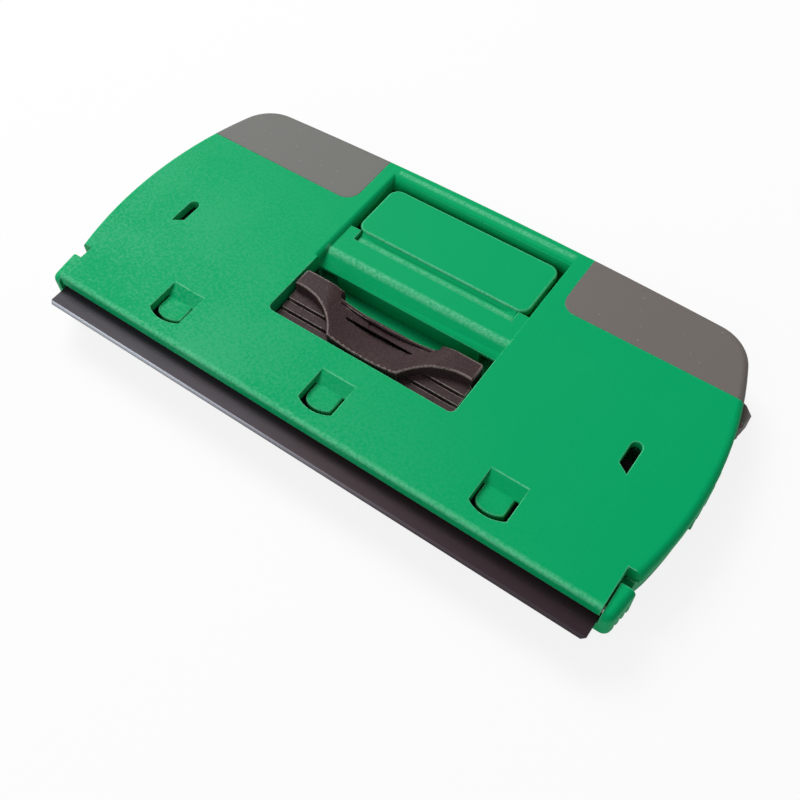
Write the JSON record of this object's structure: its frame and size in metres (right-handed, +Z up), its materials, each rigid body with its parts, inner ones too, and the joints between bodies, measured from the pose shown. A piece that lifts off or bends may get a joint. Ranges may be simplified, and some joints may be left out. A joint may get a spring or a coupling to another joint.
{
  "type": "ceramic hob scraper",
  "caption": "Flat scraper with a wide blade that slides out of a hinged two-shell plastic body with soft rear grips.",
  "frame": {"origin": "middle of the footprint, on the flat underside", "axes": "+X across the body along the blade's edge, -Y towards the blade's edge, +Z up through the cover"},
  "size_m": [0.1092, 0.0566, 0.0104],
  "materials": {
    "cover_plastic": "fine matt moulding",
    "shell_plastic": "fine matt moulding",
    "grip_rubber": "soft matt overmoulding",
    "slider_plastic": "grained moulding",
    "carriage_plastic": "plain moulding",
    "blade_steel": "dark rolled flats, ground edge",
    "pin_steel": "bright drawn",
    "spring_steel": "bright rolled"
  },
  "bodies": {
    "base": {"lower_shell": "shell_plastic", "base_grip_left": "grip_rubber", "base_grip_right": "grip_rubber", "latch_pin": "pin_steel", "latch_spring": "spring_steel", "latch_spring_rivet": "pin_steel", "click_spring": "spring_steel", "click_spring_rivet": "pin_steel"},
    "cover": {"top_cover": "cover_plastic", "cover_grip_left": "grip_rubber", "cover_grip_right": "grip_rubber", "hinge_pin_left": "pin_steel", "hinge_pin_right": "pin_steel"},
    "latch": {"latch_lever": "cover_plastic"},
    "blade_slider": {"blade_carriage": "carriage_plastic", "blade": "blade_steel", "blade_pin_left": "pin_steel", "blade_pin_right": "pin_steel", "thumb_slider": "slider_plastic", "slider_screws": "pin_steel"}
  },
  "joints": [
    {"name": "cover_hinge", "type": "hinge", "parent": "base", "child": "cover", "pos_m": [0, -0.02359, 0.0082], "axis": [1, 0, 0], "range_deg": [0, 100]},
    {"name": "latch_press", "type": "hinge", "parent": "base", "child": "latch", "pos_m": [0, 0.01171, 0.0034], "axis": [1, 0, 0], "range_deg": [-7, 0], "stiffness_Nm_per_rad": 0.25, "springref_deg": 5.73, "deforming": ["latch_spring"]},
    {"name": "blade_slide", "type": "slide", "parent": "base", "child": "blade_slider", "axis": [0, 1, 0], "range_m": [0, 0.003], "deforming": ["click_spring"]}
  ]
}
